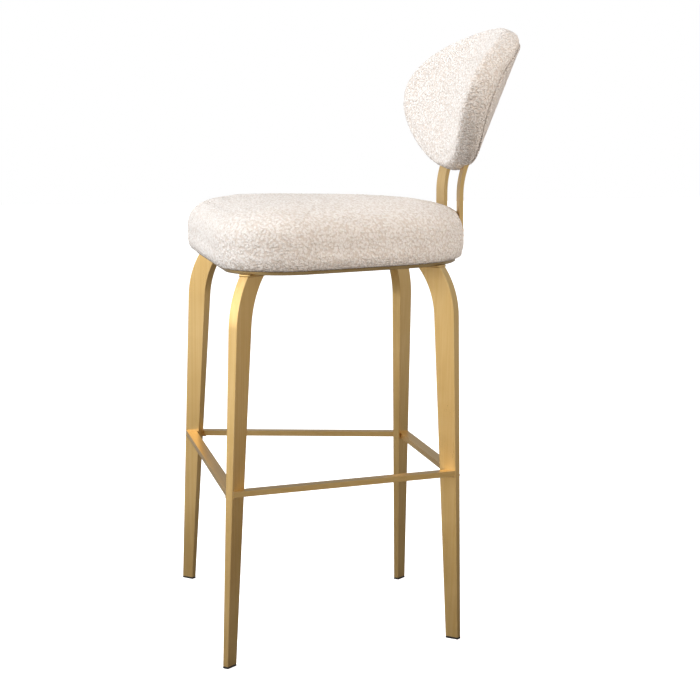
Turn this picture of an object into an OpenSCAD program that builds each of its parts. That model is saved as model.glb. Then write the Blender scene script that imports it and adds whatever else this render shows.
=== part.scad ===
// Bar stool with a footrest ring and a low curved backrest.
// Four tapered steel legs carry a flat steel ring, an upholstered seat is
// screwed to the ring, and two bent flat bars carry the padded backrest.
// The floor is z = 0, the sitter faces -Y, and the origin is the middle of
// the stool's footprint box on the floor.

/* [Heights] */
// Height of the underside of the steel ring
rim_h = 665; // [655:1:675]
// Height of the highest point of the seat cushion
seat_h = 784; // [776:1:792]
// Height of the top face of the footrest
footrest_h = 304; // [240:1:360]

/* [Legs] */
// Front foot, sideways distance from the middle
front_foot_x = 300; // [290:1:310]
// Front foot, distance in front of the middle
front_foot_y = 282; // [276:1:290]
// Back foot, sideways distance from the middle
back_foot_x = 212; // [204:1:220]
// Back foot, distance behind the middle
back_foot_y = 133; // [126:1:139]
// Height of the knee, where the leg starts to curve in
knee_h = 577; // [565:1:585]
// Front knee, sideways distance from the middle
front_knee_x = 281; // [276:1:286]
// Front knee, distance in front of the middle
front_knee_y = 257; // [253:1:263]
// Back knee, sideways distance from the middle
back_knee_x = 173; // [168:1:178]
// Back knee, distance behind the middle
back_knee_y = 127; // [122:1:131]
// Wide side of the leg at the floor
leg_wide_foot = 25; // [20:1:30]
// Wide side of the leg at the knee
leg_wide_knee = 41; // [36:1:44]
// Narrow side of the leg at the floor
leg_narrow_foot = 10.6; // [9:0.2:13]
// Narrow side of the leg at the knee
leg_narrow_knee = 18.6; // [16:0.2:21]
// Radius of the outer edge above the knee
leg_outer_r = 150; // [140:1:160]
// Radius of the inner edge above the knee
leg_inner_r = 140; // [125:1:145]
// Thickness of the black glide under each leg
glide_t = 3; // [2:0.5:5]

/* [Footrest] */
// Width of the flat footrest bars
bar_w = 20; // [16:1:24]
// Thickness of the flat footrest bars
bar_t = 10; // [8:1:12]

/* [Seat ring] */
// Thickness of the steel ring
rim_t = 6; // [5:0.5:8]
// Width of the steel ring
rim_w = 55; // [50:1:60]
// Radius of the round back of the seat outline
seat_back_r = 230; // [225:1:236]
// Centre of the round back, in front of the middle
seat_back_y = 50; // [47:1:55]
// Radius of the front corners of the seat outline
seat_corner_r = 95; // [88:1:100]
// Centre of the front corners, sideways from the middle
seat_corner_x = 197; // [192:1:202]
// Centre of the front corners, in front of the middle
seat_corner_y = 175; // [171:1:179]

/* [Seat upholstery] */
// How far the cushion stands out beyond the ring
cushion_out = 12; // [8:1:16]
// Radius of the cushion's top edge
cushion_edge_r = 45; // [35:1:50]
// Thickness of the seat board
board_t = 18; // [12:1:20]
// Thickness of the covering fabric with its lining
cover_t = 2; // [1.5:0.5:3]

/* [Backrest posts] */
// Width of the flat bar
post_w = 40; // [34:1:42]
// Thickness of the flat bar
post_t = 7; // [6:0.5:7]
// Sideways distance of each post from the middle
post_x = 66; // [62:1:70]
// Distance of each post behind the middle
post_y = 178.5; // [178:0.1:179]
// Height of the lower end of each post
post_bottom = 688; // [684:1:692]
// Length of each post above its bend
post_straight = 160; // [140:1:170]
// Height at which each post starts to bend
post_bend_h = 785; // [784:1:786]
// Radius of the bend in each post
post_bend_r = 160; // [158:1:162]
// Turn of each post about the vertical
post_turn = 7; // [6:0.5:8]

/* [Backrest pad] */
// Backward tilt of the pad and of the upper posts
tilt = 22; // [21.8:0.1:22.2]
// Half the width of the pad
pad_half_w = 232; // [220:1:245]
// Height of the pad above its widest line
pad_up = 135; // [125:1:145]
// Depth of the pad below its widest line
pad_down = 130; // [124:1:138]
// Radius of the pad's hollow front face
pad_front_r = 450; // [446:1:454]
// Distance of the pad's bending axis in front of the middle
pad_axis_y = 209.5; // [209:0.5:210]
// Height of the pad's bending axis at its widest line
pad_axis_h = 1129; // [1128:1:1130]

/* [Hidden] */
$fn = 64;

// Finishes
brass = [0.80, 0.65, 0.42];
cream = [0.91, 0.87, 0.82];
foam_yellow = [0.93, 0.88, 0.70];
plywood = [0.80, 0.66, 0.47];
black = [0.06, 0.06, 0.06];
zinc = [0.66, 0.67, 0.68];

// Legs: where each stands, and the turn of its wide side from the X axis
front_foot = [front_foot_x, -front_foot_y];
front_knee = [front_knee_x, -front_knee_y];
back_foot = [back_foot_x, back_foot_y];
back_knee = [back_knee_x, back_knee_y];
front_turn = -45;
back_turn = 45;
corner_inset = 0.8;

// Lengths that reach well past a part or past the whole stool
past_part = 100;
past_stool = 500;

// Seat stack, from the ring up
board_z = rim_h + rim_t;
rail_z = board_z + board_t;
rail_h = 56;
rail_t = 26;
rail_half_w = 112;
rail_gap = 5;
dust_t = 1;
dust_gap = 2;
board_out = -1;
nut_room = 2;
slot_gap = 0.5;

// Backrest layers, as radii about the bending axis
foam_front_r = pad_front_r + cover_t;
board_front_r = 470;
board_back_r = 477;
panel_front_r = 486.5;
panel_back_r = 490;
panel_inset = 5;
pad_board_inset = 12;

// Fasteners: M6 countersunk screws and tee nuts
screw_r = 3;
hole_r = 3.3;
head_r = 6;
head_h = 3.3;
socket_r = 2.2;
socket_h = 2.2;
nut_flange_r = 9;
nut_flange_t = 1.5;
nut_barrel_r = 4;
nut_barrel_l = 7;
nut_fit = 0.05;
post_bolt_heights = [702, 732];
post_bolt_l = 42;
rail_nut_depth = 32;
post_screw_places = [45, 105];
post_screw_l = 20;
post_to_board_face = 16.4;
post_notch_gap = 1.5;
post_notch_below = 60;
seat_screw_l = 24;

// Seat outline: front corner arcs and one round back, all grown alike
corner_centre = [seat_corner_x, -seat_corner_y];
back_centre = [0, -seat_back_y];
centres_gap = norm(corner_centre - back_centre);
centres_angle = atan2(corner_centre[1] - back_centre[1], corner_centre[0]);
side_angle = centres_angle + acos((seat_back_r - seat_corner_r) / centres_gap);

function arc(centre, r, from, to, steps) =
    [for (i = [0:steps]) let (a = from + (to - from) * i / steps)
        centre + r * [cos(a), sin(a)]];

function flip_x(points) =
    [for (i = [len(points) - 1:-1:0]) [-points[i][0], points[i][1]]];

function seat_right(grow, fine) = concat(
    arc(corner_centre, seat_corner_r + grow, -90, side_angle, 10 * fine),
    arc(back_centre, seat_back_r + grow, side_angle, 90, 10 * fine));

function seat_outline(grow, fine = 2) =
    let (right = seat_right(grow, fine), last = len(right) - 1)
    concat(right, flip_x([for (i = [0:last - 1]) right[i]]));

// Leg geometry, in a frame whose first axis points outward from the stool
function turned(p, angle) =
    [p[0] * cos(angle) - p[1] * sin(angle), p[0] * sin(angle) + p[1] * cos(angle)];

function mix(a, b, t) = a + (b - a) * t;

// Centre, wide side and narrow side of a leg at height z
function leg_centre(foot, knee, z) = mix(foot, knee, z / knee_h);
function leg_wide(z) = mix(leg_wide_foot, leg_wide_knee, z / knee_h);
function leg_narrow(z) = mix(leg_narrow_foot, leg_narrow_knee, z / knee_h);

// Just inside the outer corner of a leg at height z, on the side given by sign
function leg_corner(foot, knee, turn, z, sign) =
    leg_centre(foot, knee, z)
    + turned([leg_wide(z) / 2 - corner_inset, sign * leg_narrow(z) / 2], turn);

// Centre of the arc that leaves a straight edge at its upper end
function arc_centre(low, high, r) =
    let (d = (high - low) / norm(high - low)) high + r * [-d[1], d[0]];

// Side view of a leg: tapered below the knee, curving inward above it
module leg_side_view(foot_u, knee_u) {
    low_out = [foot_u + leg_wide_foot / 2, 0];
    low_in = [foot_u - leg_wide_foot / 2, 0];
    high_out = [knee_u + leg_wide_knee / 2, knee_h];
    high_in = [knee_u - leg_wide_knee / 2, knee_h];
    outer = arc_centre(low_out, high_out, leg_outer_r);
    inner = arc_centre(low_in, high_in, leg_inner_r);
    polygon([low_in, low_out, high_out, high_in]);
    difference() {
        intersection() {
            translate(outer)
                circle(leg_outer_r, $fn = 128);
            translate([inner[0], knee_h])
                square([leg_outer_r + leg_inner_r, rim_h - knee_h]);
        }
        translate(inner)
            circle(leg_inner_r, $fn = 128);
    }
}

// Front view of a leg: tapered below the knee, of one width above it
module leg_front_view(foot_v, knee_v) {
    rim_v = mix(foot_v, knee_v, rim_h / knee_h);
    polygon([
        [foot_v - leg_narrow_foot / 2, 0],
        [foot_v + leg_narrow_foot / 2, 0],
        [knee_v + leg_narrow_knee / 2, knee_h],
        [rim_v + leg_narrow_knee / 2, rim_h],
        [rim_v - leg_narrow_knee / 2, rim_h],
        [knee_v - leg_narrow_knee / 2, knee_h]
    ]);
}

// A right-hand leg from z = 0 to the ring, glide included
module leg_blank(foot, knee, turn) {
    foot_uv = turned(foot, -turn);
    knee_uv = turned(knee, -turn);
    rotate([0, 0, turn])
        intersection() {
            translate([0, foot_uv[1] + past_part, 0])
                rotate([90, 0, 0])
                    linear_extrude(2 * past_part)
                        leg_side_view(foot_uv[0], knee_uv[0]);
            translate([knee_uv[0] - leg_outer_r, 0, 0])
                rotate([90, 0, 90])
                    linear_extrude(2 * leg_outer_r)
                        leg_front_view(foot_uv[1], knee_uv[1]);
        }
}

module between(low, high) {
    intersection() {
        children();
        translate([-past_stool, -past_stool, low])
            cube([2 * past_stool, 2 * past_stool, high - low]);
    }
}

module leg(foot, knee, turn) {
    color(brass)
        between(glide_t, rim_h)
            leg_blank(foot, knee, turn);
}

module glide(foot, knee, turn) {
    color(black)
        between(0, glide_t)
            leg_blank(foot, knee, turn);
}

module left_side() {
    mirror([1, 0, 0])
        children();
}

module leg_front_right() { leg(front_foot, front_knee, front_turn); }
module leg_front_left() { left_side() leg_front_right(); }
module leg_back_right() { leg(back_foot, back_knee, back_turn); }
module leg_back_left() { left_side() leg_back_right(); }
module glide_front_right() { glide(front_foot, front_knee, front_turn); }
module glide_front_left() { left_side() glide_front_right(); }
module glide_back_right() { glide(back_foot, back_knee, back_turn); }
module glide_back_left() { left_side() glide_back_right(); }

// Footrest bars: flat bars, mitred against the side faces of the legs
bar_mid = footrest_h - bar_t / 2;
front_corner_in = leg_corner(front_foot, front_knee, front_turn, bar_mid, -1);
front_corner_out = leg_corner(front_foot, front_knee, front_turn, bar_mid, 1);
back_corner_out = leg_corner(back_foot, back_knee, back_turn, bar_mid, -1);
back_corner_in = leg_corner(back_foot, back_knee, back_turn, bar_mid, 1);

// Where the inner edge of a bar meets the side face of a leg
function mitre(corner, turn, inward) =
    let (d = turned([-1, 0], turn)) corner + d * bar_w / (d * inward);

module bar(outline) {
    color(brass)
        difference() {
            translate([0, 0, footrest_h - bar_t])
                linear_extrude(bar_t)
                    polygon(outline);
            leg_blank(front_foot, front_knee, front_turn);
            left_side()
                leg_blank(front_foot, front_knee, front_turn);
            leg_blank(back_foot, back_knee, back_turn);
            left_side()
                leg_blank(back_foot, back_knee, back_turn);
        }
}

module footrest_front() {
    right = [front_corner_in, mitre(front_corner_in, front_turn, [0, 1])];
    bar(concat(right, flip_x(right)));
}

module footrest_back() {
    right = [mitre(back_corner_in, back_turn, [0, -1]), back_corner_in];
    bar(concat(right, flip_x(right)));
}

module footrest_right() {
    along = (back_corner_out - front_corner_out) / norm(back_corner_out - front_corner_out);
    inward = [-along[1], along[0]];
    bar([
        front_corner_out,
        back_corner_out,
        mitre(back_corner_out, back_turn, inward),
        mitre(front_corner_out, front_turn, inward)
    ]);
}

module footrest_left() { left_side() footrest_right(); }

// Seat screws: two along the front, two along each side, two at the back
screw_line = -rim_w / 2;
side_start = corner_centre + (seat_corner_r + screw_line) * [cos(side_angle), sin(side_angle)];
side_end = back_centre + (seat_back_r + screw_line) * [cos(side_angle), sin(side_angle)];
back_end = back_centre + (seat_back_r + screw_line) * [cos(70), sin(70)];
right_screws = [
    [110, corner_centre[1] - seat_corner_r - screw_line],
    mix(side_start, side_end, 0.1),
    mix(side_start, side_end, 0.9),
    back_end
];
seat_screw_places = concat(right_screws, flip_x(right_screws));

module at_seat_screws() {
    for (p = seat_screw_places)
        translate([p[0], p[1], 0])
            children();
}

// A countersunk screw with its head at z = 0 and its shank along +Z
module screw(length) {
    difference() {
        union() {
            cylinder(h = head_h, r1 = head_r, r2 = screw_r);
            cylinder(h = length, r = screw_r);
        }
        translate([0, 0, -1])
            cylinder(h = socket_h + 1, r = socket_r, $fn = 6);
    }
}

// The hole for that screw through a plate of the given thickness
module screw_hole(plate) {
    translate([0, 0, -1])
        cylinder(h = plate + 2, r = hole_r);
    cylinder(h = head_h, r1 = head_r + 0.2, r2 = hole_r);
    translate([0, 0, -1])
        cylinder(h = 1.01, r = head_r + 0.2);
}

// A tee nut with its flange's inner face at z = 0 and its barrel towards -Z
module tee_nut() {
    difference() {
        union() {
            cylinder(h = nut_flange_t, r = nut_flange_r);
            translate([0, 0, -nut_barrel_l])
                cylinder(h = nut_barrel_l + 0.1, r = nut_barrel_r);
        }
        translate([0, 0, -nut_barrel_l - 1])
            cylinder(h = nut_barrel_l + nut_flange_t + 2, r = screw_r + nut_fit);
    }
}

module tee_nut_space(depth) {
    translate([0, 0, -0.01])
        cylinder(h = nut_flange_t + 0.2, r = nut_flange_r + 0.2);
    translate([0, 0, -depth])
        cylinder(h = depth + 0.1, r = nut_barrel_r + nut_fit);
}

module seat_ring() {
    color(brass)
        difference() {
            translate([0, 0, rim_h])
                linear_extrude(rim_t)
                    difference() {
                        polygon(seat_outline(0));
                        polygon(seat_outline(-rim_w));
                    }
            at_seat_screws()
                translate([0, 0, rim_h])
                    screw_hole(rim_t);
        }
}

module seat_board() {
    color(plywood)
        difference() {
            translate([0, 0, board_z])
                linear_extrude(board_t)
                    polygon(seat_outline(board_out));
            at_seat_screws()
                translate([0, 0, rail_z])
                    tee_nut_space(board_t + 1);
        }
}

module seat_dust_cover() {
    color(black)
        translate([0, 0, board_z - dust_t])
            linear_extrude(dust_t)
                polygon(seat_outline(-rim_w - dust_gap));
}

module seat_screws() {
    color(zinc)
        at_seat_screws()
            translate([0, 0, rim_h])
                screw(seat_screw_l);
}

module seat_tee_nuts() {
    color(zinc)
        at_seat_screws()
            translate([0, 0, rail_z])
                tee_nut();
}

// Cushion shape as [height, how far the outline grows, scale] from the ring
// up: a tucked foot, an upright side, a round top edge and a low crown.
// The foot is given as [height above the ring, distance inside the side], the
// crown as [distance below the top, scale about the cushion's middle].
cushion_foot = [[0, 9], [9, 3], [20, 0]];
cushion_crown = [[6, 1], [1, 0.6], [0, 0.3]];
crown_inset = 80;
edge_top = 14;
edge_step = 22.5;
cushion_middle = [0, -55];

function cushion_levels(inset) =
    let (edge_r = cushion_edge_r - inset, edge_z = seat_h - edge_top - cushion_edge_r)
    concat(
        [for (step = cushion_foot)
            [board_z + step[0], cushion_out - step[1] - inset, 1]],
        [for (a = [0:edge_step:90])
            [edge_z + edge_r * sin(a), cushion_out - cushion_edge_r + edge_r * cos(a), 1]],
        [for (step = cushion_crown)
            [seat_h - step[0] - inset, -crown_inset, step[1]]]);

function cushion_ring(level) =
    [for (p = seat_outline(level[1], 1))
        let (q = mix(cushion_middle, p, level[2]))
        [q[0], q[1], level[0]]];

// A closed skin through the rings of points, from the lowest to the highest
module loft(rings) {
    count = len(rings[0]);
    last = (len(rings) - 1) * count;
    polyhedron(
        points = [for (ring = rings) each ring],
        faces = concat(
            [[for (i = [0:count - 1]) i]],
            [[for (i = [count - 1:-1:0]) last + i]],
            [for (base = [0:count:last - 1], i = [0:count - 1])
                let (j = (i + 1) % count)
                [base + i, base + count + i, base + count + j, base + j]]),
        convexity = 4);
}

module cushion_blank(inset) {
    loft([for (level = cushion_levels(inset)) cushion_ring(level)]);
}

// Shallow grooves in the cushion's back where the posts press into it
module post_grooves(gap) {
    for (side = [0, 1])
        mirror([side, 0, 0])
            translate([post_x, post_y, 0])
                rotate([0, 0, -post_turn])
                    translate([-post_w / 2 - gap, -post_t / 2 - gap, post_bottom - gap])
                        cube([post_w + 2 * gap, past_part, seat_h - post_bottom + past_part]);
}

module at_post_bolts() {
    for (side = [0, 1])
        mirror([side, 0, 0])
            translate([post_x, post_y, 0])
                rotate([0, 0, -post_turn])
                    for (z = post_bolt_heights)
                        translate([0, post_t / 2, z])
                            rotate([90, 0, 0])
                                children();
}

// Plan of the hardwood rail that follows the back edge of the seat
module rail_plan(gap) {
    intersection() {
        difference() {
            polygon(seat_outline(-rail_gap + gap));
            polygon(seat_outline(-rail_gap - rail_t - gap));
        }
        translate([-rail_half_w - gap, 0])
            square([2 * (rail_half_w + gap), past_stool]);
    }
}

module seat_back_rail() {
    color(plywood)
        difference() {
            translate([0, 0, rail_z])
                linear_extrude(rail_h)
                    rail_plan(0);
            at_post_bolts()
                cylinder(h = past_part, r = hole_r);
            at_post_bolts()
                translate([0, 0, rail_nut_depth])
                    cylinder(h = past_part, r = nut_flange_r + 1);
            at_seat_screws()
                translate([0, 0, rail_z - 1])
                    cylinder(h = nut_room + 10, r = nut_flange_r + 1);
        }
}

module post_tee_nuts() {
    color(zinc)
        at_post_bolts()
            translate([0, 0, rail_nut_depth])
                difference() {
                    cylinder(h = nut_flange_t, r = nut_flange_r);
                    translate([0, 0, -1])
                        cylinder(h = nut_flange_t + 2, r = screw_r + nut_fit);
                }
}

module post_bolts() {
    color(zinc)
        at_post_bolts()
            screw(post_bolt_l);
}

module seat_foam() {
    color(foam_yellow)
        difference() {
            cushion_blank(cover_t);
            post_grooves(slot_gap + cover_t);
            translate([0, 0, board_z - 1])
                linear_extrude(board_t + nut_room + 1)
                    polygon(seat_outline(board_out));
            translate([0, 0, rail_z - 1])
                linear_extrude(rail_h + 2)
                    rail_plan(1);
            at_post_bolts()
                cylinder(h = post_bolt_l, r = hole_r);
        }
}

module seat_cover() {
    color(cream)
        difference() {
            cushion_blank(0);
            post_grooves(slot_gap);
            difference() {
                translate([0, 0, -0.5])
                    cushion_blank(cover_t);
                post_grooves(slot_gap + cover_t);
            }
            at_post_bolts()
                cylinder(h = post_bolt_l, r = hole_r);
        }
}

// Posts: flat bars, upright behind the seat and bent back into the pad
// Side view of a post, with X pointing backward and Y up
function post_side_view() =
    let (centre = [post_bend_r, post_bend_h],
         upright = 180,
         sloping = 180 - tilt,
         up = [sin(tilt), cos(tilt)],
         face = arc(centre, post_bend_r + post_t / 2, upright, sloping, 12),
         rear = arc(centre, post_bend_r - post_t / 2, sloping, upright, 12))
    concat(
        [[-post_t / 2, post_bottom]],
        face,
        [face[12] + post_straight * up, rear[0] + post_straight * up],
        rear,
        [[post_t / 2, post_bottom]]);

// Places on a right-hand post's sloping length, +Z into the backrest board
module on_slope(place) {
    translate([post_x, post_y, 0])
        rotate([0, 0, -post_turn])
            translate([0, post_bend_r, post_bend_h])
                rotate([-tilt, 0, 0])
                    translate([0, -post_bend_r + post_t / 2, place])
                        rotate([90, 0, 0])
                            children();
}

module at_post_screws() {
    for (side = [0, 1])
        mirror([side, 0, 0])
            for (place = post_screw_places)
                on_slope(place)
                    children();
}

module post_right() {
    color(brass)
        difference() {
            translate([post_x, post_y, 0])
                rotate([0, 0, -post_turn])
                    rotate([90, 0, 90])
                        linear_extrude(post_w, center = true)
                            polygon(post_side_view());
            at_post_bolts()
                screw_hole(post_t);
            at_post_screws()
                screw_hole(post_t);
        }
}

module post_left() { left_side() post_right(); }

// Backrest layers: slices of a tilted tube, cut to the pad's outline
module pad_frame() {
    translate([0, -pad_axis_y, pad_axis_h])
        rotate([-tilt, 0, 0])
            children();
}

function pad_outline(grow) =
    [for (a = [3:6:357])
        [(pad_half_w + grow) * cos(a),
         ((a < 180 ? pad_up : pad_down) + grow) * sin(a)]];

module pad_layer(front_r, back_r, grow) {
    pad_frame()
        intersection() {
            difference() {
                translate([0, 0, -past_stool / 2])
                    cylinder(h = past_stool, r = back_r, $fn = 180);
                translate([0, 0, -past_stool])
                    cylinder(h = 2 * past_stool, r = front_r, $fn = 180);
            }
            translate([0, back_r + 1, 0])
                rotate([90, 0, 0])
                    linear_extrude(back_r)
                        polygon(pad_outline(grow));
        }
}

// Notches where the posts enter the pad from below
module post_notch() {
    wide = post_w + 2 * post_notch_gap;
    thick = post_t + 2 * post_notch_gap;
    for (side = [0, 1])
        mirror([side, 0, 0])
            on_slope(0)
                translate([-wide / 2, -post_notch_below, -post_notch_gap])
                    cube([wide, post_notch_below + post_straight + post_notch_gap, thick]);
}

module backrest_board() {
    color(plywood)
        difference() {
            pad_layer(board_front_r, board_back_r, -pad_board_inset);
            at_post_screws()
                cylinder(h = past_part, r = nut_barrel_r + nut_fit);
        }
}

module backrest_foam() {
    color(foam_yellow)
        difference() {
            pad_layer(foam_front_r, board_front_r, -cover_t);
            at_post_screws()
                cylinder(h = post_to_board_face + nut_flange_t + 3, r = nut_flange_r + 0.5);
        }
}

module backrest_cover() {
    color(cream)
        difference() {
            pad_layer(pad_front_r, panel_front_r, 0);
            pad_layer(foam_front_r, panel_front_r + 2, -cover_t);
            post_notch();
        }
}

module backrest_rear_panel() {
    color(cream)
        pad_layer(panel_front_r, panel_back_r, -panel_inset);
}

module backrest_screws() {
    color(zinc)
        at_post_screws()
            screw(post_screw_l);
}

module backrest_tee_nuts() {
    color(zinc)
        at_post_screws()
            translate([0, 0, post_to_board_face])
                tee_nut();
}

leg_front_left();
leg_front_right();
leg_back_left();
leg_back_right();
glide_front_left();
glide_front_right();
glide_back_left();
glide_back_right();
footrest_front();
footrest_back();
footrest_left();
footrest_right();
seat_ring();
seat_board();
seat_back_rail();
seat_foam();
seat_cover();
seat_dust_cover();
seat_screws();
seat_tee_nuts();
post_left();
post_right();
post_bolts();
post_tee_nuts();
backrest_board();
backrest_foam();
backrest_cover();
backrest_rear_panel();
backrest_screws();
backrest_tee_nuts();
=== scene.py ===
import math

import bmesh
import bpy
import numpy as np
from mathutils import Matrix, Vector


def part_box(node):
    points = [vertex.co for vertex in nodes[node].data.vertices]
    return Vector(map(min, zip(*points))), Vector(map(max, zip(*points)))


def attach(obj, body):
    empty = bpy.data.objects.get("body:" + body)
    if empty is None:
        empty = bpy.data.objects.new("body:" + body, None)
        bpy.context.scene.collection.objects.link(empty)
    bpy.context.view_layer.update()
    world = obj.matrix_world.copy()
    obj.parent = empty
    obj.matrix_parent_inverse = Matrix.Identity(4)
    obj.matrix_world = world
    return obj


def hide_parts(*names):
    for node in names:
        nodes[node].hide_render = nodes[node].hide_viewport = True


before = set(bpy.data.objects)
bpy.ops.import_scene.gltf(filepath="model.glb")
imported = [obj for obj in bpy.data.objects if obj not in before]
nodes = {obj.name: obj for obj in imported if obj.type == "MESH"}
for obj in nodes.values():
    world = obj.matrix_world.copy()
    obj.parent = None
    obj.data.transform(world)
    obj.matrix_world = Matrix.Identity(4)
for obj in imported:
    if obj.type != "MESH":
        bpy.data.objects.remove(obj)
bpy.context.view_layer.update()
scene = bpy.context.scene

# ------------------------------------------------------------------ legs
# Four tapered legs, folded from steel sheet and bent in under the seat. They
# are brushed along their length, plated in satin brass and lacquered, and
# their long corners are eased by hand before plating.
LEGS = ["leg_front_left", "leg_front_right", "leg_back_left", "leg_back_right"]
LEG_EDGE = 0.0012
SAME_CORNER = 0.00001
BRASS_PALE = (0.82, 0.58, 0.26, 1)
BRASS_DEEP = (0.74, 0.49, 0.185, 1)
BRASS_WORN = (0.90, 0.71, 0.43, 1)
ACROSS_GRAIN = 1500
ALONG_GRAIN = 14
FLOAT = "NodeSocketFloat"
VECTOR = "NodeSocketVector"


def new_group(name, inputs, outputs):
    """An empty shader group with named inputs and outputs, as (name, kind, value)."""
    group = bpy.data.node_groups.new(name, "ShaderNodeTree")
    for label, kind, value in inputs:
        socket = group.interface.new_socket(name=label, in_out="INPUT", socket_type=kind)
        socket.default_value = value
    for label, kind in outputs:
        group.interface.new_socket(name=label, in_out="OUTPUT", socket_type=kind)
    return group, group.nodes.new("NodeGroupInput"), group.nodes.new("NodeGroupOutput")


def node(tree, kind, inputs, **settings):
    """A node with its settings, and its inputs given as values or as other sockets."""
    made = tree.nodes.new("ShaderNode" + kind)
    for name, value in settings.items():
        setattr(made, name, value)
    for key, value in inputs.items():
        if isinstance(value, bpy.types.NodeSocket):
            tree.links.new(value, made.inputs[key])
        else:
            made.inputs[key].default_value = value
    return made


def maths(tree, operation, a, b=0.0):
    return node(tree, "Math", {0: a, 1: b}, operation=operation).outputs[0]


def spread(tree, value, low, high, to_low=0.0, to_high=1.0):
    """The value's stretch from low to high, brought to the range from to_low to to_high."""
    inputs = {0: value, 1: low, 2: high, 3: to_low, 4: to_high}
    return node(tree, "MapRange", inputs).outputs[0]


def blend_colours(tree, share, a, b):
    inputs = {0: share, 6: a, 7: b}
    return node(tree, "Mix", inputs, data_type="RGBA").outputs[2]


def place_in_object(tree):
    return node(tree, "TexCoord", {}).outputs["Object"]


def brushed_grain_group():
    """Fine straight scratches that run along the axis with the smallest stretch."""
    inputs = [("Stretch", VECTOR, (ACROSS_GRAIN, ACROSS_GRAIN, ALONG_GRAIN))]
    group, given, out = new_group("brushed grain", inputs, [("Grain", FLOAT), ("Streaks", FLOAT)])
    place = node(group, "VectorMath", {0: place_in_object(group), 1: given.outputs["Stretch"]},
                 operation="MULTIPLY").outputs[0]
    fine = node(group, "TexNoise", {"Vector": place, "Scale": 1.0, "Detail": 3.0})
    broad = node(group, "TexNoise", {"Vector": place, "Scale": 0.16, "Detail": 2.0})
    group.links.new(fine.outputs[0], out.inputs["Grain"])
    group.links.new(spread(group, broad.outputs[0], 0.35, 0.65), out.inputs["Streaks"])
    return group


def edge_wear_group():
    """A mask that is 1 where an outer corner has been rubbed."""
    inputs = [("Radius", FLOAT, 0.002), ("Breakup", FLOAT, 180.0)]
    group, given, out = new_group("edge wear", inputs, [("Worn", FLOAT)])
    rounded = node(group, "Bevel", {"Radius": given.outputs["Radius"]}, samples=4).outputs[0]
    flat = node(group, "NewGeometry", {}).outputs["Normal"]
    match = node(group, "VectorMath", {0: rounded, 1: flat}, operation="DOT_PRODUCT").outputs["Value"]
    edge = spread(group, match, 0.995, 0.90)
    broken = node(group, "TexNoise", {"Vector": place_in_object(group),
                                      "Scale": given.outputs["Breakup"], "Detail": 4.0})
    patchy = spread(group, broken.outputs[0], 0.38, 0.62)
    group.links.new(maths(group, "MULTIPLY", edge, patchy), out.inputs["Worn"])
    return group


def handling_group():
    """Faint smudges where the stool is handled."""
    group, given, out = new_group("handling", [("Size", FLOAT, 9.0)], [("Smudge", FLOAT)])
    cloud = node(group, "TexNoise", {"Vector": place_in_object(group), "Scale": given.outputs["Size"],
                                     "Detail": 5.0, "Distortion": 0.6})
    group.links.new(spread(group, cloud.outputs[0], 0.35, 0.68), out.inputs["Smudge"])
    return group


BRUSHED = brushed_grain_group()
WEAR = edge_wear_group()
HANDLING = handling_group()


def use_group(tree, group, **inputs):
    made = tree.nodes.new("ShaderNodeGroup")
    made.node_tree = group
    for name, value in inputs.items():
        made.inputs[name].default_value = value
    return made.outputs


def new_material(name, **shader_values):
    """A material with its shader, and the shader's constant values on its own sockets."""
    material = bpy.data.materials.new(name)
    material.use_nodes = True
    shader = material.node_tree.nodes["Principled BSDF"]
    for label, value in shader_values.items():
        shader.inputs[label.replace("_", " ")].default_value = value
    return material, material.node_tree, shader


def brass(name, stretch, deep=BRASS_DEEP, pale=BRASS_PALE):
    """Satin brass plate over brushed steel, with the brushing along one axis."""
    material, tree, shader = new_material(name, Metallic=1.0, Coat_Weight=0.12,
                                          Coat_Roughness=0.22)
    grain = use_group(tree, BRUSHED, Stretch=stretch)
    worn = use_group(tree, WEAR, Radius=0.0016)["Worn"]
    marks = use_group(tree, HANDLING, Size=7.0)
    tone = maths(tree, "MULTIPLY_ADD", grain["Streaks"], 0.5)
    tree.links.new(maths(tree, "MULTIPLY", marks["Smudge"], 0.5), tone.node.inputs[2])
    colour = blend_colours(tree, tone, deep, pale)
    colour = blend_colours(tree, maths(tree, "MULTIPLY", worn, 0.6), colour, BRASS_WORN)
    rough = maths(tree, "ADD", spread(tree, grain["Grain"], 0.3, 0.7, 0.27, 0.37),
                  maths(tree, "MULTIPLY", marks["Smudge"], 0.07))
    bump = node(tree, "Bump", {"Strength": 0.22, "Distance": 0.00012, "Height": grain["Grain"]})
    tree.links.new(colour, shader.inputs["Base Color"])
    tree.links.new(rough, shader.inputs["Roughness"])
    tree.links.new(bump.outputs[0], shader.inputs["Normal"])
    return material


def smooth_shading(piece):
    for polygon in piece.data.polygons:
        polygon.use_smooth = True


def finish_node(name, material, edge=0.0, angle=32):
    """Gives a CAD node its material, joins its split corners and eases its edges."""
    piece = nodes[name]
    piece.data.materials.clear()
    piece.data.materials.append(material)
    weld = piece.modifiers.new("join corners", "WELD")
    weld.merge_threshold = SAME_CORNER
    if edge:
        bevel = piece.modifiers.new("eased edges", "BEVEL")
        bevel.width = edge
        bevel.segments = 3
        bevel.limit_method = "ANGLE"
        bevel.angle_limit = math.radians(angle)
    smooth = piece.modifiers.new("face shading", "WEIGHTED_NORMAL")
    smooth.keep_sharp = True
    smooth_shading(piece)


LEG_BRASS = brass("brass brushed upright", (ACROSS_GRAIN, ACROSS_GRAIN, ALONG_GRAIN))
for leg in LEGS:
    finish_node(leg, LEG_BRASS, LEG_EDGE)

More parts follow.
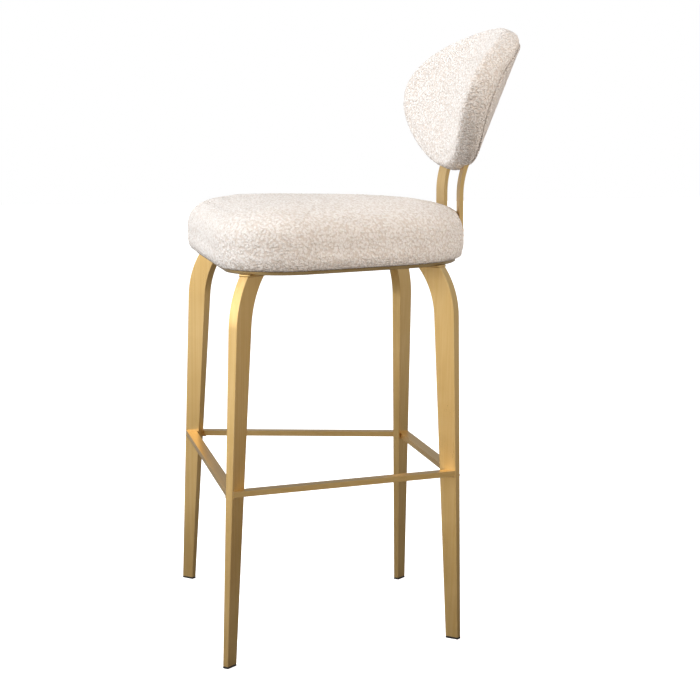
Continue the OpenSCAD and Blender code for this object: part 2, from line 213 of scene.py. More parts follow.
# ---------------------------------------------------------------- glides
# A moulded black rubber glide is glued under each leg and takes the leg's
# own outline. Its skin is matt and scuffed where it slides over a floor.
GLIDES = [leg.replace("leg", "glide") for leg in LEGS]
RUBBER_DARK = (0.012, 0.012, 0.013, 1)
RUBBER_SCUFFED = (0.06, 0.058, 0.055, 1)
GLIDE_EDGE = 0.0006


def rubber(name):
    """Moulded rubber, paler where it is scuffed."""
    material, tree, shader = new_material(name, Specular_IOR_Level=0.35)
    marks = use_group(tree, HANDLING, Size=120.0)
    worn = use_group(tree, WEAR, Radius=0.0008)["Worn"]
    scuff = maths(tree, "MAXIMUM", maths(tree, "MULTIPLY", marks["Smudge"], 0.35), worn)
    grain = node(tree, "TexNoise", {"Vector": place_in_object(tree), "Scale": 2200.0, "Detail": 2.0})
    bump = node(tree, "Bump", {"Strength": 0.4, "Distance": 0.0001, "Height": grain.outputs[0]})
    colour = blend_colours(tree, scuff, RUBBER_DARK, RUBBER_SCUFFED)
    tree.links.new(colour, shader.inputs["Base Color"])
    tree.links.new(spread(tree, scuff, 0, 1, 0.62, 0.85), shader.inputs["Roughness"])
    tree.links.new(bump.outputs[0], shader.inputs["Normal"])
    return material


GLIDE_RUBBER = rubber("black glide rubber")
for glide in GLIDES:
    finish_node(glide, GLIDE_RUBBER, GLIDE_EDGE)

# -------------------------------------------------------------- footrest
# Four flat steel bars, mitred against the side faces of the legs. They are
# welded from below, ground flush on top, and brushed along their length.
BARS_ACROSS = ["footrest_front", "footrest_back"]
BARS_ALONG = ["footrest_left", "footrest_right"]
BAR_EDGE = 0.0009
BEAD_RADIUS = 0.0019
BEAD_STEP = 0.0025
BEAD_RIPPLE = 0.10
BEAD_RIPPLE_TURN = 1.9
KNEE_HEIGHT = 0.577
KNEE_BAND = 0.002
FOOT_BAND = 0.01
LEG_REACH = 0.026
SHORTEST_WELD = 0.004

ACROSS_BRASS = brass("brass brushed sideways", (ALONG_GRAIN, ACROSS_GRAIN, ACROSS_GRAIN))
ALONG_BRASS = brass("brass brushed lengthways", (ACROSS_GRAIN, ALONG_GRAIN, ACROSS_GRAIN))
for bar in BARS_ACROSS:
    finish_node(bar, ACROSS_BRASS, BAR_EDGE)
for bar in BARS_ALONG:
    finish_node(bar, ALONG_BRASS, BAR_EDGE)


def corners_at(name, height, within=0.0006):
    """The corners of a CAD node at a height, in order round their middle."""
    spots = {(round(v.co.x, 5), round(v.co.y, 5)) for v in nodes[name].data.vertices
             if abs(v.co.z - height) < within}
    middle = Vector((sum(x for x, _ in spots), sum(y for _, y in spots))) / len(spots)
    turn = sorted(spots, key=lambda p: math.atan2(p[1] - middle.y, p[0] - middle.x))
    return [Vector((x, y, height)) for x, y in turn]


def round_beads(name, runs, radius, material=LEG_BRASS):
    """Rippled round beads along runs of points, as one piece."""
    curve = bpy.data.curves.new(name, "CURVE")
    curve.dimensions = "3D"
    curve.bevel_depth = radius
    curve.bevel_resolution = 3
    curve.use_fill_caps = True
    for points in runs:
        line = []
        for a, b in zip(points, points[1:]):
            steps = max(1, round((b - a).length / BEAD_STEP))
            line += [a.lerp(b, i / steps) for i in range(steps)]
        line.append(points[-1])
        spline = curve.splines.new("POLY")
        spline.points.add(len(line) - 1)
        for i, (point, place) in enumerate(zip(spline.points, line)):
            point.co = (*place, 1)
            point.radius = 1 + BEAD_RIPPLE * math.sin(BEAD_RIPPLE_TURN * i)
    bead = bpy.data.objects.new(name, curve)
    scene.collection.objects.link(bead)
    shaped = bead.evaluated_get(bpy.context.evaluated_depsgraph_get())
    mesh = bpy.data.meshes.new_from_object(shaped)
    bpy.data.objects.remove(bead)
    made = bpy.data.objects.new(name, mesh)
    scene.collection.objects.link(made)
    smooth_shading(made)
    mesh.materials.clear()
    mesh.materials.append(material)
    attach(made, "root")


def bar_weld_runs():
    """The lower edges where the footrest bars meet the legs."""
    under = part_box("footrest_front")[0].z
    leg_middles = []
    for leg in LEGS:
        corners = [v.co for v in nodes[leg].data.vertices]
        feet = [p for p in corners if p.z < FOOT_BAND]
        knees = [p for p in corners if abs(p.z - KNEE_HEIGHT) < KNEE_BAND]
        foot = sum(feet, Vector()) / len(feet)
        knee = sum(knees, Vector()) / len(knees)
        leg_middles.append(foot.lerp(knee, (under - foot.z) / (knee.z - foot.z)))
    runs = []
    for bar in BARS_ACROSS + BARS_ALONG:
        corners = corners_at(bar, under)
        for a, b in zip(corners, corners[1:] + corners[:1]):
            middle = (a + b) / 2
            near = min((middle - m).length for m in leg_middles)
            if near < LEG_REACH and (b - a).length > SHORTEST_WELD:
                runs.append([a, b])
    return runs


round_beads("footrest_welds", bar_weld_runs(), BEAD_RADIUS)

# ------------------------------------------------------------- seat ring
# A flat ring, cut from 6 mm steel plate, lies on the four leg tops and is
# fillet-welded to them. The welds are dressed smooth before plating.
RING_EDGE = 0.0008
# The ring's brass colours are painted much darker than the legs' brass. This is painted shade for the
# ring's edge under the cushion's overhang.
RING_SHADED_DEEP = (0.30, 0.20, 0.085, 1)
RING_SHADED_PALE = (0.42, 0.30, 0.14, 1)
LEG_BEAD_RADIUS = 0.0026
LEG_BEAD_DROP = 0.35
LEG_BEAD_OUT = 0.0002

RING_SHADED_BRASS = brass("brass brushed on the ring with painted shade", (160, 160, ACROSS_GRAIN), RING_SHADED_DEEP, RING_SHADED_PALE)
finish_node("seat_ring", RING_SHADED_BRASS, RING_EDGE, 40)


def leg_top_runs():
    """The outline of each leg's top, where it meets the ring."""
    runs = []
    for leg in LEGS:
        top = corners_at(leg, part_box(leg)[1].z)
        middle = sum(top, Vector()) / len(top)
        drop = Vector((0, 0, LEG_BEAD_RADIUS * LEG_BEAD_DROP))
        loop = [p + (p - middle).normalized() * LEG_BEAD_OUT - drop for p in top]
        runs.append(loop + loop[:1])
    return runs


round_beads("leg_top_welds", leg_top_runs(), LEG_BEAD_RADIUS)

# ------------------------------------------------------ seat board and rail
# The board is birch plywood, cut to the ring's outline. A beech rail glued
# and screwed along its back edge takes the bolts of the backrest posts.
PLY_PALE = (0.66, 0.49, 0.31, 1)
PLY_DARK = (0.42, 0.27, 0.14, 1)
PLY_LAYER = 0.0014
SAWN_EDGE = 0.0008


def timber(name, stretch, layered):
    """Raw wood: grain drawn out along one axis, with glued layers through its thickness."""
    material, tree, shader = new_material(name, Specular_IOR_Level=0.3)
    place = place_in_object(tree)
    stretched = node(tree, "VectorMath", {0: place, 1: stretch}, operation="MULTIPLY").outputs[0]
    grain = node(tree, "TexNoise", {"Vector": stretched, "Scale": 1.0, "Detail": 6.0,
                                    "Distortion": 1.2}).outputs[0]
    pores = node(tree, "TexNoise", {"Vector": stretched, "Scale": 6.0, "Detail": 2.0}).outputs[0]
    tone = spread(tree, grain, 0.3, 0.7)
    if layered:
        depth = node(tree, "SeparateXYZ", {0: place}).outputs[2]
        wave = maths(tree, "SINE", maths(tree, "MULTIPLY", depth, math.pi / PLY_LAYER))
        tone = maths(tree, "MULTIPLY", tone, spread(tree, wave, -0.6, 0.6, 0.45, 1.0))
    bump = node(tree, "Bump", {"Strength": 0.35, "Distance": 0.0002, "Height": pores})
    tree.links.new(blend_colours(tree, tone, PLY_DARK, PLY_PALE), shader.inputs["Base Color"])
    tree.links.new(spread(tree, pores, 0.3, 0.7, 0.55, 0.75), shader.inputs["Roughness"])
    tree.links.new(bump.outputs[0], shader.inputs["Normal"])
    return material


PLYWOOD = timber("birch plywood", (30, 260, 260), True)
BEECH = timber("beech rail", (24, 420, 420), False)
finish_node("seat_board", PLYWOOD, SAWN_EDGE)
finish_node("seat_back_rail", BEECH, SAWN_EDGE)

# ------------------------------------------------------------ dust cover
# Black spun-bonded cloth closes the underside inside the ring. It is held
# to the board by wire staples, a hand's breadth apart.
CLOTH_BLACK = (0.016, 0.016, 0.018, 1)
CLOTH_GREY = (0.05, 0.05, 0.053, 1)
STAPLE_WIDE = 0.010
STAPLE_WIRE = 0.0006
STAPLE_INSET = 0.012
STAPLE_COUNT = 28
STAPLE_LOOK_AHEAD = 0.005
STAPLE_SIDES = 8
ZINC_DULL = (0.50, 0.51, 0.53, 1)
ZINC_BRIGHT = (0.68, 0.69, 0.70, 1)
ZINC_RUBBED = (0.82, 0.83, 0.84, 1)


def spun_cloth(name):
    """Thin black cloth of pressed fibres, dimpled in a regular grid."""
    material, tree, shader = new_material(name, Specular_IOR_Level=0.2)
    place = place_in_object(tree)
    fibres = node(tree, "TexNoise", {"Vector": place, "Scale": 700.0, "Detail": 6.0, "Distortion": 3.0})
    dimples = node(tree, "TexVoronoi", {"Vector": place, "Scale": 420.0, "Randomness": 0.1})
    height = maths(tree, "ADD", fibres.outputs[0], dimples.outputs["Distance"])
    bump = node(tree, "Bump", {"Strength": 0.6, "Distance": 0.0003, "Height": height})
    share = spread(tree, fibres.outputs[0], 0.35, 0.7)
    tree.links.new(blend_colours(tree, share, CLOTH_BLACK, CLOTH_GREY), shader.inputs["Base Color"])
    tree.links.new(spread(tree, fibres.outputs[0], 0.3, 0.7, 0.8, 0.95), shader.inputs["Roughness"])
    tree.links.new(bump.outputs[0], shader.inputs["Normal"])
    return material


finish_node("seat_dust_cover", spun_cloth("black spun cloth"))


def zinc(name):
    """Bright zinc plate, with the faint crystals and dulling of plated hardware."""
    material, tree, shader = new_material(name, Metallic=1.0)
    place = place_in_object(tree)
    crystals = node(tree, "TexVoronoi", {"Vector": place, "Scale": 900.0}).outputs["Distance"]
    marks = use_group(tree, HANDLING, Size=160.0)
    worn = use_group(tree, WEAR, Radius=0.0005)["Worn"]
    colour = blend_colours(tree, marks["Smudge"], ZINC_DULL, ZINC_BRIGHT)
    colour = blend_colours(tree, worn, colour, ZINC_RUBBED)
    bump = node(tree, "Bump", {"Strength": 0.15, "Distance": 0.0001, "Height": crystals})
    tree.links.new(colour, shader.inputs["Base Color"])
    tree.links.new(spread(tree, crystals, 0, 1, 0.28, 0.45), shader.inputs["Roughness"])
    tree.links.new(bump.outputs[0], shader.inputs["Normal"])
    return material


ZINC = zinc("zinc plate")


def new_piece(name, mesh):
    """A piece of the scene made from a finished bmesh."""
    data = bpy.data.meshes.new(name)
    mesh.to_mesh(data)
    mesh.free()
    piece = bpy.data.objects.new(name, data)
    scene.collection.objects.link(piece)
    return piece


def staples():
    """Wire staples round the dust cover, each a bar with two legs in the cloth."""
    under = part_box("seat_dust_cover")[0].z
    edge = np.array([(p.x, p.y) for p in corners_at("seat_dust_cover", under)])
    steps = np.linalg.norm(np.roll(edge, -1, 0) - edge, axis=1)
    walk = np.concatenate([[0], np.cumsum(steps)])
    closed = np.vstack([edge, edge[:1]])
    middle = (edge.max(0) + edge.min(0)) / 2
    mesh = bmesh.new()
    for i in range(STAPLE_COUNT):
        at = walk[-1] * (i + 0.5) / STAPLE_COUNT
        next_at = (at + STAPLE_LOOK_AHEAD) % walk[-1]
        spot = np.array([np.interp(at, walk, closed[:, k]) for k in (0, 1)])
        ahead = np.array([np.interp(next_at, walk, closed[:, k]) for k in (0, 1)])
        run = math.atan2(*(ahead - spot)[::-1])
        inward = (middle - spot) / np.linalg.norm(middle - spot)
        spot = spot + inward * STAPLE_INSET
        place = Matrix.Translation((*spot, under)) @ Matrix.Rotation(run, 4, "Z")
        bar = Matrix.Rotation(math.pi / 2, 4, "Y")
        bmesh.ops.create_cone(mesh, cap_ends=True, segments=STAPLE_SIDES, radius1=STAPLE_WIRE,
                              radius2=STAPLE_WIRE, depth=STAPLE_WIDE, matrix=place @ bar)
        for side in (-1, 1):
            bend = place @ Matrix.Translation((side * STAPLE_WIDE / 2, 0, 0))
            leg = place @ Matrix.Translation((side * STAPLE_WIDE / 2, 0, STAPLE_WIRE))
            bmesh.ops.create_uvsphere(mesh, u_segments=STAPLE_SIDES, v_segments=6,
                                      radius=STAPLE_WIRE, matrix=bend)
            bmesh.ops.create_cone(mesh, cap_ends=True, segments=STAPLE_SIDES, radius1=STAPLE_WIRE,
                                  radius2=STAPLE_WIRE, depth=2 * STAPLE_WIRE, matrix=leg)
    made = new_piece("dust_cover_staples", mesh)
    made.data.materials.append(ZINC)
    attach(made, "root")


staples()

# ------------------------------------------------------------- fasteners
# Countersunk socket screws with matching tee nuts hold the seat, the posts
# and the backrest. All of them are zinc-plated.
FASTENER_EDGE = 0.0002
FASTENERS = ["seat_screws", "seat_tee_nuts", "post_bolts", "post_tee_nuts",
             "backrest_screws", "backrest_tee_nuts"]
for fastener in FASTENERS:
    finish_node(fastener, ZINC, FASTENER_EDGE, 40)

# ---------------------------------------------------------- seat cushion
# A block of moulded foam under a cream boucle cover. The cover is pulled down
# over the board's edge and stapled beneath it, so the cushion crowns on top,
# rounds over at the rim and tucks in just above the ring.
CUSHION_VOXEL = 0.005
CUSHION_WIDER = (1.0150, 1.0235)
CUSHION_LOWER = 0.950
CUSHION_SWELL = 0.0035
SINK_LIMIT = 0.0002
CUSHION_PRESSURE = 4.0
HELD_HEIGHT = 0.004
LOOP_SIZE = 0.0046
LOOP_RELIEF = 0.0016
CURL_SIZE = 0.0030
CURL_RELIEF = 0.0010
BOUCLE_LOOP = (0.92, 0.89, 0.865, 1)
# The next colour is painted shade for the gaps between the loops, and the contrast below sets how
# strongly it is painted.
BOUCLE_HOLLOW_SHADE = (0.58, 0.48, 0.40, 1)
LOOP_DEPTH = 0.0036
HOLLOW_SHADE_STRENGTH = 0.52
LOOP_WANDER = 0.0035
SWELL_FRAMES = 20
RING_GAP = 0.0003
DENT_SIDE_GAP = 0.001
DENT_SIDE_BLEND = 0.007
DENT_BELOW = 0.010
DENT_FOOT_BLEND = 0.008
DENT_CLEARANCE = 0.0015
DENT_DEPTH_LIMIT = 0.05
POST_WIDE = 0.040
POST_THICK = 0.007
POST_TURN = math.radians(7)
POST_SPOT = (0.066, 0.1785)
POST_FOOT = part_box("post_right")[0].z


def looped_yarn_group():
    """Curled loops of yarn: their height, and a mask of painted shade for the hollows between them."""
    inputs = [("Loops", FLOAT, 1 / LOOP_SIZE)]
    group, given, out = new_group("looped yarn", inputs, [("Height", FLOAT), ("Hollow Shade", FLOAT)])
    scale = given.outputs[0]
    place = place_in_object(group)
    wander = node(group, "TexNoise", {"Vector": place, "Scale": scale, "Detail": 2.0}).outputs["Color"]
    shift = node(group, "VectorMath", {0: wander, 1: (LOOP_WANDER, LOOP_WANDER, LOOP_WANDER)},
                 operation="MULTIPLY").outputs[0]
    bent = node(group, "VectorMath", {0: place, 1: shift}, operation="ADD").outputs[0]
    loops = node(group, "TexVoronoi", {"Vector": bent, "Scale": scale}).outputs["Distance"]
    finer = maths(group, "MULTIPLY", scale, 2.3)
    curls = node(group, "TexVoronoi", {"Vector": bent, "Scale": finer}).outputs["Distance"]
    rings = maths(group, "SINE", maths(group, "MULTIPLY", loops, 16.0))
    fibres = node(group, "TexNoise", {"Vector": bent, "Scale": 1800.0, "Detail": 3.0}).outputs[0]
    height = maths(group, "SUBTRACT", 1.0, loops)
    for part, share in ((curls, -0.45), (rings, 0.09), (fibres, 0.30)):
        height = maths(group, "ADD", height, maths(group, "MULTIPLY", part, share))
    # Painted shade: the gaps between the loops and curls are darkened as a colour mask.
    hollow_shade = maths(group, "ADD", spread(group, loops, 0.32, 0.74),
                   maths(group, "MULTIPLY", spread(group, curls, 0.35, 0.8), 0.45))
    group.links.new(height, out.inputs["Height"])
    group.links.new(hollow_shade, out.inputs["Hollow Shade"])
    return group


LOOPED = looped_yarn_group()


def boucle(name):
    """Cream looped wool fabric, with painted shade darkening the hollows between its loops."""
    material, tree, shader = new_material(name, Specular_IOR_Level=0.25, Sheen_Weight=0.18,
                                          Sheen_Roughness=0.6)
    yarn = use_group(tree, LOOPED, Loops=1 / LOOP_SIZE)
    drift = use_group(tree, HANDLING, Size=14.0)
    # Painted shade: the cream is darkened towards the hollow colour in the gaps between the loops.
    shade = maths(tree, "MULTIPLY", yarn["Hollow Shade"], HOLLOW_SHADE_STRENGTH)
    shade = maths(tree, "ADD", shade, maths(tree, "MULTIPLY", drift["Smudge"], 0.06))
    bump = node(tree, "Bump", {"Strength": 1.0, "Distance": LOOP_DEPTH,
                                "Height": yarn["Height"]})
    colour = blend_colours(tree, shade, BOUCLE_LOOP, BOUCLE_HOLLOW_SHADE)
    tree.links.new(colour, shader.inputs["Base Color"])
    tree.links.new(spread(tree, yarn["Hollow Shade"], 0, 1, 0.82, 0.97), shader.inputs["Roughness"])
    tree.links.new(bump.outputs[0], shader.inputs["Normal"])
    return material


BOUCLE = boucle("cream boucle")


def bake_modifiers(piece):
    """Replaces the piece's mesh by what its modifiers make of it."""
    shaped = piece.evaluated_get(bpy.context.evaluated_depsgraph_get())
    mesh = bpy.data.meshes.new_from_object(shaped)
    piece.modifiers.clear()
    piece.data = mesh


def places_of(mesh):
    spots = np.empty(len(mesh.vertices) * 3)
    mesh.vertices.foreach_get("co", spots)
    return spots.reshape(-1, 3)


def set_places(mesh, spots):
    mesh.vertices.foreach_set("co", spots.ravel())
    mesh.update()


def normals_of(mesh):
    normals = np.empty(len(mesh.vertices) * 3)
    mesh.vertices.foreach_get("normal", normals)
    return normals.reshape(-1, 3)


def remesh(piece, voxel):
    even = piece.modifiers.new("even mesh", "REMESH")
    even.mode = "VOXEL"
    even.voxel_size = voxel
    bake_modifiers(piece)


def swell(piece, held, pressure, cap):
    """Blows the closed piece up as tight upholstery, with the held points fixed."""
    before = places_of(piece.data)
    group = piece.vertex_groups.new(name="held")
    group.add([int(i) for i in np.flatnonzero(held)], 1.0, "REPLACE")
    cloth = piece.modifiers.new("swell", "CLOTH")
    settings = cloth.settings
    settings.quality = 4
    settings.mass = 0.3
    settings.tension_stiffness = 20
    settings.compression_stiffness = 20
    settings.shear_stiffness = 8
    settings.bending_stiffness = 1.5
    settings.use_pressure = True
    settings.uniform_pressure_force = pressure
    settings.effector_weights.gravity = 0
    settings.vertex_group_mass = "held"
    cloth.collision_settings.use_collision = False
    cloth.point_cache.frame_start = 1
    cloth.point_cache.frame_end = SWELL_FRAMES
    for step in range(1, SWELL_FRAMES + 1):
        scene.frame_set(step)
    shaped = piece.evaluated_get(bpy.context.evaluated_depsgraph_get())
    after = places_of(shaped.data)
    piece.modifiers.clear()
    scene.frame_set(1)
    moved = after - before
    length = np.linalg.norm(moved, axis=1, keepdims=True)
    moved *= np.minimum(1, cap / np.maximum(length, 1e-9))
    outward = normals_of(piece.data)
    rise = (moved * outward).sum(axis=1, keepdims=True)
    moved += outward * np.maximum(0, -SINK_LIMIT - rise)
    set_places(piece.data, before + moved)


def yarn_relief(piece, strength):
    """Raises the loops of the yarn in the mesh itself."""
    for label, kind, size, relief in (("loops", "VORONOI", LOOP_SIZE, -LOOP_RELIEF),
                                      ("curls", "CLOUDS", CURL_SIZE, CURL_RELIEF)):
        texture = bpy.data.textures.new(label, kind)
        texture.noise_scale = size
        raised = piece.modifiers.new(label, "DISPLACE")
        raised.texture = texture
        raised.texture_coords = "LOCAL"
        raised.strength = relief * strength
        raised.mid_level = 0.5


def hull_of(name, inner):
    """A new piece: the outer form that closes round the given CAD node."""
    mesh = bmesh.new()
    mesh.from_mesh(nodes[inner].data)
    result = bmesh.ops.convex_hull(mesh, input=mesh.verts)
    spare = [g for g in result["geom_interior"] + result["geom_unused"]
             if isinstance(g, bmesh.types.BMVert)]
    bmesh.ops.delete(mesh, geom=spare, context="VERTS")
    skin = {g for g in result["geom"] if isinstance(g, bmesh.types.BMFace)}
    bmesh.ops.delete(mesh, geom=[f for f in mesh.faces if f not in skin], context="FACES")
    return new_piece(name, mesh)


def ease(share):
    """A share from 0 to 1 with a soft start and end."""
    return share * share * (3 - 2 * share)


def dent_for_posts(spots):
    """Presses the cushion's back in where the two posts lie against it."""
    for side in (-1, 1):
        turn = side * POST_TURN
        away = spots[:, :2] - np.array([side * POST_SPOT[0], POST_SPOT[1]])
        across = away[:, 0] * math.cos(turn) - away[:, 1] * math.sin(turn)
        out = away[:, 0] * math.sin(turn) + away[:, 1] * math.cos(turn)
        beside = np.abs(across) - POST_WIDE / 2 - DENT_SIDE_GAP
        near = 1 - np.clip(beside / DENT_SIDE_BLEND, 0, 1)
        high = np.clip((spots[:, 2] - POST_FOOT + DENT_BELOW) / DENT_FOOT_BLEND, 0, 1)
        behind = np.maximum(0, out + POST_THICK / 2 + DENT_CLEARANCE)
        excess = behind * ease(near) * ease(high) * (out > -DENT_DEPTH_LIMIT)
        spots[:, 0] -= excess * math.sin(turn)
        spots[:, 1] -= excess * math.cos(turn)
    return spots


def dress_in_boucle(piece, relief):
    yarn_relief(piece, relief)
    smooth_shading(piece)
    piece.data.materials.clear()
    piece.data.materials.append(BOUCLE)


def refine(piece):
    finer = piece.modifiers.new("finer", "SUBSURF")
    finer.levels = 1
    finer.render_levels = 1
    bake_modifiers(piece)


def seat_cushion():
    low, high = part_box("seat_cover")
    piece = hull_of("seat_cushion", "seat_cover")
    remesh(piece, CUSHION_VOXEL)
    spots = places_of(piece.data)
    spots[:, 2] = low.z + np.maximum(spots[:, 2] - low.z, RING_GAP) * CUSHION_LOWER
    spots[:, 0] *= CUSHION_WIDER[0]
    middle_y = (low.y + high.y) / 2
    spots[:, 1] = middle_y + (spots[:, 1] - middle_y) * CUSHION_WIDER[1]
    set_places(piece.data, spots)
    held = spots[:, 2] < low.z + HELD_HEIGHT
    swell(piece, held, CUSHION_PRESSURE, CUSHION_SWELL)
    spots = dent_for_posts(places_of(piece.data))
    spots[:, 2] = np.maximum(spots[:, 2], low.z + RING_GAP)
    set_places(piece.data, spots)
    refine(piece)
    dress_in_boucle(piece, 1.0)
    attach(piece, "root")
    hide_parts("seat_cover", "seat_foam")


seat_cushion()

# ----------------------------------------------------------------- posts
# Two flat bars, bent back above the seat. Each is bolted to the rail inside
# the cushion and screwed to the backrest's board, and is brushed lengthways.
POST_EDGE = 0.0009
for post in ("post_left", "post_right"):
    finish_node(post, LEG_BRASS, POST_EDGE, 40)

# -------------------------------------------------------------- backrest
# A bent plywood board with foam on its front, wrapped in the same boucle. The
# cover rolls over the edges, and the posts pass in through its lower edge.
PAD_TILT = math.radians(22)
PAD_AXIS = Vector((0, -0.2095, 1.129))
PAD_HALF_WIDE = 0.2365
PAD_UP = 0.1395
PAD_DOWN = 0.1345
PAD_FRONT = 0.4475
PAD_BACK = 0.4895
PAD_FRONT_ROUND = 0.012
PAD_BACK_ROUND = 0.016
PAD_SHRINK = 0.0005
PAD_SWELL = 0.005
PAD_HELD_DEPTH = 0.006
PAD_INSETS = (0.028, 0.045, 0.07, 0.10, 0.128)
ROUND_STEPS = 8
RING_POINTS = 96
BOARD_EDGE = 0.0006

finish_node("backrest_board", PLYWOOD, BOARD_EDGE)


def pad_ring(inset, radius):
    """A closed ring of points, a distance inside the backrest's outline."""
    ring = []
    for i in range(RING_POINTS):
        turn = 2 * math.pi * i / RING_POINTS
        tall = PAD_UP if math.sin(turn) > 0 else PAD_DOWN
        across = (PAD_HALF_WIDE - inset) * math.cos(turn)
        up = (tall - inset) * math.sin(turn)
        deep = math.sqrt(radius ** 2 - across ** 2)
        ring.append(PAD_AXIS + Matrix.Rotation(-PAD_TILT, 3, "X") @ Vector((across, deep, up)))
    return ring


def closed_loft(name, rings):
    """A closed piece through the rings, laced across at each end."""
    mesh = bmesh.new()
    rows = [[mesh.verts.new(p) for p in ring] for ring in rings]
    for a, b in zip(rows, rows[1:]):
        for i in range(RING_POINTS):
            j = (i + 1) % RING_POINTS
            mesh.faces.new((a[i], a[j], b[j], b[i]))
    for row in (rows[0], rows[-1]):
        for i in range(RING_POINTS // 2):
            corners = (row[i], row[i + 1], row[-i - 1], row[-i % RING_POINTS])
            mesh.faces.new(list(dict.fromkeys(corners)))
    bmesh.ops.recalc_face_normals(mesh, faces=mesh.faces)
    return new_piece(name, mesh)


def pad_rings():
    """The pad from the middle of its back, round its edge, to the middle of its front."""
    rings = [pad_ring(inset, PAD_BACK) for inset in reversed(PAD_INSETS)]
    for i in range(ROUND_STEPS + 1):
        turn = math.pi / 2 * i / ROUND_STEPS
        inset = PAD_BACK_ROUND * (1 - math.sin(turn))
        rings.append(pad_ring(inset, PAD_BACK - PAD_BACK_ROUND * (1 - math.cos(turn))))
    for i in range(1, ROUND_STEPS + 1):
        turn = math.pi / 2 * i / ROUND_STEPS
        inset = PAD_FRONT_ROUND * (1 - math.cos(turn))
        rings.append(pad_ring(inset, PAD_FRONT + PAD_FRONT_ROUND * (1 - math.sin(turn))))
    for inset in PAD_INSETS:
        rings.append(pad_ring(inset, PAD_FRONT))
    return rings


def backrest_cushion():
    piece = closed_loft("backrest_cushion", pad_rings())
    remesh(piece, CUSHION_VOXEL)
    spots = places_of(piece.data) - PAD_SHRINK * normals_of(piece.data)
    set_places(piece.data, spots)
    turn_back = np.array(Matrix.Rotation(PAD_TILT, 3, "X"))
    flat = (spots - np.array(PAD_AXIS)) @ turn_back.T
    radius = np.hypot(flat[:, 0], flat[:, 1])
    swell(piece, radius > PAD_BACK - PAD_HELD_DEPTH, CUSHION_PRESSURE, PAD_SWELL)
    refine(piece)
    dress_in_boucle(piece, 1.0)
    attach(piece, "root")
    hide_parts("backrest_cover", "backrest_foam")


backrest_cushion()

# ------------------------------------------------------------ rear panel
# A thin lined panel of the same fabric closes the back of the backrest. Its
# edge is folded under and slip-stitched to the cover all the way round.
PANEL_INSET = 0.0165
PANEL_BACK = 0.4922
PANEL_FRONT = 0.4882
PANEL_FOLD = 0.0018
PANEL_VOXEL = 0.0024
PANEL_FRONT_INSETS = (0.128, 0.09, 0.06, 0.04)
PANEL_BACK_INSETS = (0.03, 0.045, 0.06, 0.08, 0.10, 0.115, 0.128)
STITCH_REACH = 0.0022
STITCH_SLANT = 0.3
STITCH_RISE = 0.0006
STITCH_ON_COVER = 0.0008
STITCH_ON_PANEL = 0.0003
STITCH_THREAD = 0.0007


def rear_panel():
    rings = [pad_ring(inset, PANEL_FRONT) for inset in PANEL_FRONT_INSETS]
    middle = (PANEL_BACK + PANEL_FRONT) / 2
    half = (PANEL_BACK - PANEL_FRONT) / 2
    for i in range(ROUND_STEPS + 1):
        turn = math.pi * i / ROUND_STEPS
        inset = PANEL_INSET + PANEL_FOLD * (1 - math.sin(turn))
        rings.append(pad_ring(inset, middle - half * math.cos(turn)))
    rings += [pad_ring(inset, PANEL_BACK) for inset in PANEL_BACK_INSETS]
    piece = closed_loft("backrest_rear_panel_cloth", rings)
    remesh(piece, PANEL_VOXEL)
    dress_in_boucle(piece, 0.5)
    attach(piece, "root")
    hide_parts("backrest_rear_panel")


rear_panel()


def stitch_runs():
    """Short slanting stitches over the fold, from the cover into the panel."""
    outside = pad_ring(PANEL_INSET - STITCH_REACH, PAD_BACK + STITCH_ON_COVER)
    inside = pad_ring(PANEL_INSET + STITCH_REACH, PANEL_BACK + STITCH_ON_PANEL)
    runs = []
    for i in range(RING_POINTS):
        a = outside[i]
        b = inside[i].lerp(inside[(i + 1) % RING_POINTS], STITCH_SLANT)
        over = (a + b) / 2 + (a - PAD_AXIS).normalized() * STITCH_RISE
        runs.append([a, over, b])
    return runs


round_beads("rear_panel_stitches", stitch_runs(), STITCH_THREAD, BOUCLE)

# ----------------------------------------------------- floor and backdrop
# A plain pale studio floor that runs out to white. To every ray but the camera's it is painted dark
# close by and paler far away:
# painted shade for the undersides and the brass's reflections.
FLOOR_HALF = 14.0
FLOOR_DROP = 0.0004
FLOOR_GREY = (0.80, 0.80, 0.80, 1)
FLOOR_PALE = (0.84, 0.84, 0.84, 1)
FLOOR_SHADE_NEAR = (0.15, 0.14, 0.13, 1)
FLOOR_SHADE_FAR = (0.66, 0.64, 0.62, 1)
FLOOR_GLOW = (0.72, 0.72, 0.72, 1)


def pale_floor():
    mesh = bmesh.new()
    bmesh.ops.create_grid(mesh, x_segments=8, y_segments=8, size=FLOOR_HALF)
    floor = new_piece("studio_floor", mesh)
    floor.location.z = -FLOOR_DROP
    material, tree, shader = new_material("pale floor", Roughness=0.9, Emission_Strength=1.0)
    place = place_in_object(tree)
    patch = node(tree, "TexNoise", {"Vector": place, "Scale": 2.0})
    away = node(tree, "VectorMath", {0: place}, operation="LENGTH").outputs["Value"]
    # Painted shade: rays other than the camera's see a floor that is dark near the stool and paler far
    # off.
    shaded_bounce = blend_colours(tree, spread(tree, away, 1.0, 5.5), FLOOR_SHADE_NEAR, FLOOR_SHADE_FAR)
    pale = blend_colours(tree, patch.outputs[0], FLOOR_GREY, FLOOR_PALE)
    seen = node(tree, "LightPath", {}).outputs["Is Camera Ray"]
    tree.links.new(blend_colours(tree, seen, shaded_bounce, pale), shader.inputs["Base Color"])
    glow = blend_colours(tree, seen, (0, 0, 0, 1), FLOOR_GLOW)
    tree.links.new(glow, shader.inputs["Emission Color"])
    floor.data.materials.append(material)


pale_floor()

# ---------------------------------------------------------- studio light
# A soft key in front of the stool, a lamp above, and warm fills at the camera's
# side and behind, in a pale room. The brass mirrors the room and the top lamp.
MIDDLE = (0, 0, 0.6)
scene.view_settings.view_transform = "Standard"


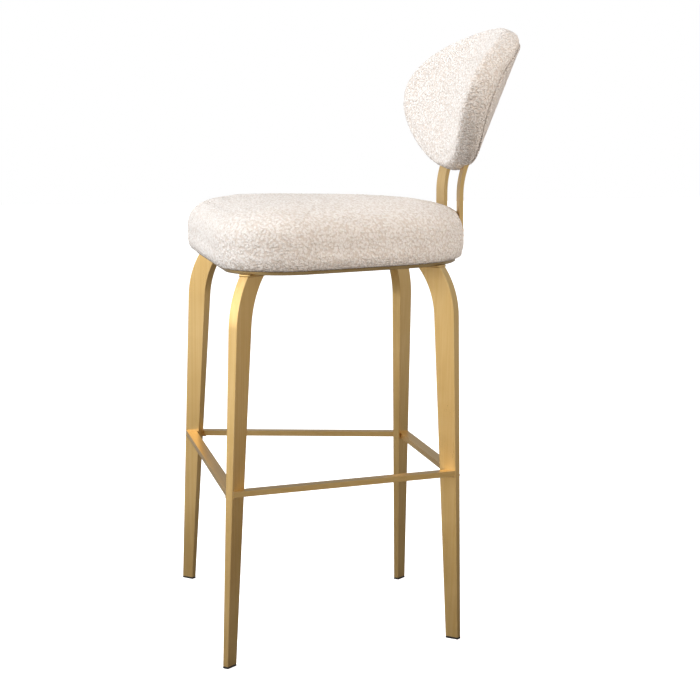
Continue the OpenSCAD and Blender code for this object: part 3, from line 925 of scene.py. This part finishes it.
def soft_light(name, place, size, power, colour, mirrored=True):
    data = bpy.data.lights.new(name, "AREA")
    data.shape = "RECTANGLE"
    data.size, data.size_y = size
    data.energy = power
    data.color = colour
    lamp = bpy.data.objects.new(name, data)
    lamp.location = place
    lamp.rotation_euler = (Vector(MIDDLE) - Vector(place)).to_track_quat("-Z", "Y").to_euler()
    lamp.visible_glossy = mirrored
    scene.collection.objects.link(lamp)


soft_light("key", (0.2, -3.2, 2.0), (1.5, 1.3), 80, (0.96, 0.98, 1.0), False)
soft_light("top", (0, -0.2, 3.2), (2.4, 2.4), 20, (1.0, 0.99, 0.98))
soft_light("fill", (3.6, 0.4, 1.5), (2.4, 2.0), 48, (1.0, 0.84, 0.70), False)
soft_light("rear fill", (1.5, 3.2, 1.6), (2.0, 2.0), 58, (1.0, 0.90, 0.80), False)


def pale_room():
    """Light from all round, brightest in front of the stool and weakest on its far side."""
    world = bpy.data.worlds.new("pale room")
    world.use_nodes = True
    scene.world = world
    tree = world.node_tree
    back = tree.nodes["Background"]
    way = node(tree, "TexCoord", {}).outputs["Generated"]
    parts = node(tree, "SeparateXYZ", {0: way})
    lit_side = spread(tree, parts.outputs[1], -0.35, -0.95, 0.0, 1.40)
    dim_side = spread(tree, parts.outputs[0], -1.0, 0.2, 0.34, 0.60)
    lift = spread(tree, parts.outputs[2], -0.5, 0.4, 0.7, 1.05)
    glow = maths(tree, "MULTIPLY", maths(tree, "ADD", lit_side, dim_side), lift)
    seen = node(tree, "LightPath", {}).outputs["Is Camera Ray"]
    grey = node(tree, "CombineColor", {0: glow, 1: glow, 2: glow}).outputs[0]
    tree.links.new(blend_colours(tree, seen, grey, (1, 1, 1, 1)), back.inputs["Color"])
    back.inputs["Strength"].default_value = 1.0


pale_room()

# ---------------------------------------------------------------- camera
# A long lens at the stool's left-hand side as it is sat on, a little above the
# seat, looking slightly down and towards the back.
CAMERA_PLACE = (3.2712, -0.682, 0.95)
CAMERA_DOWN = math.radians(7.7341)
CAMERA_TURN = math.radians(78.4238)

camera_data = bpy.data.cameras.new("camera")
camera_data.lens = 93.54
camera_data.sensor_width = 36
camera = bpy.data.objects.new("camera", camera_data)
camera.location = CAMERA_PLACE
camera.rotation_euler = (math.pi / 2 - CAMERA_DOWN, 0, CAMERA_TURN)
scene.collection.objects.link(camera)
scene.camera = camera
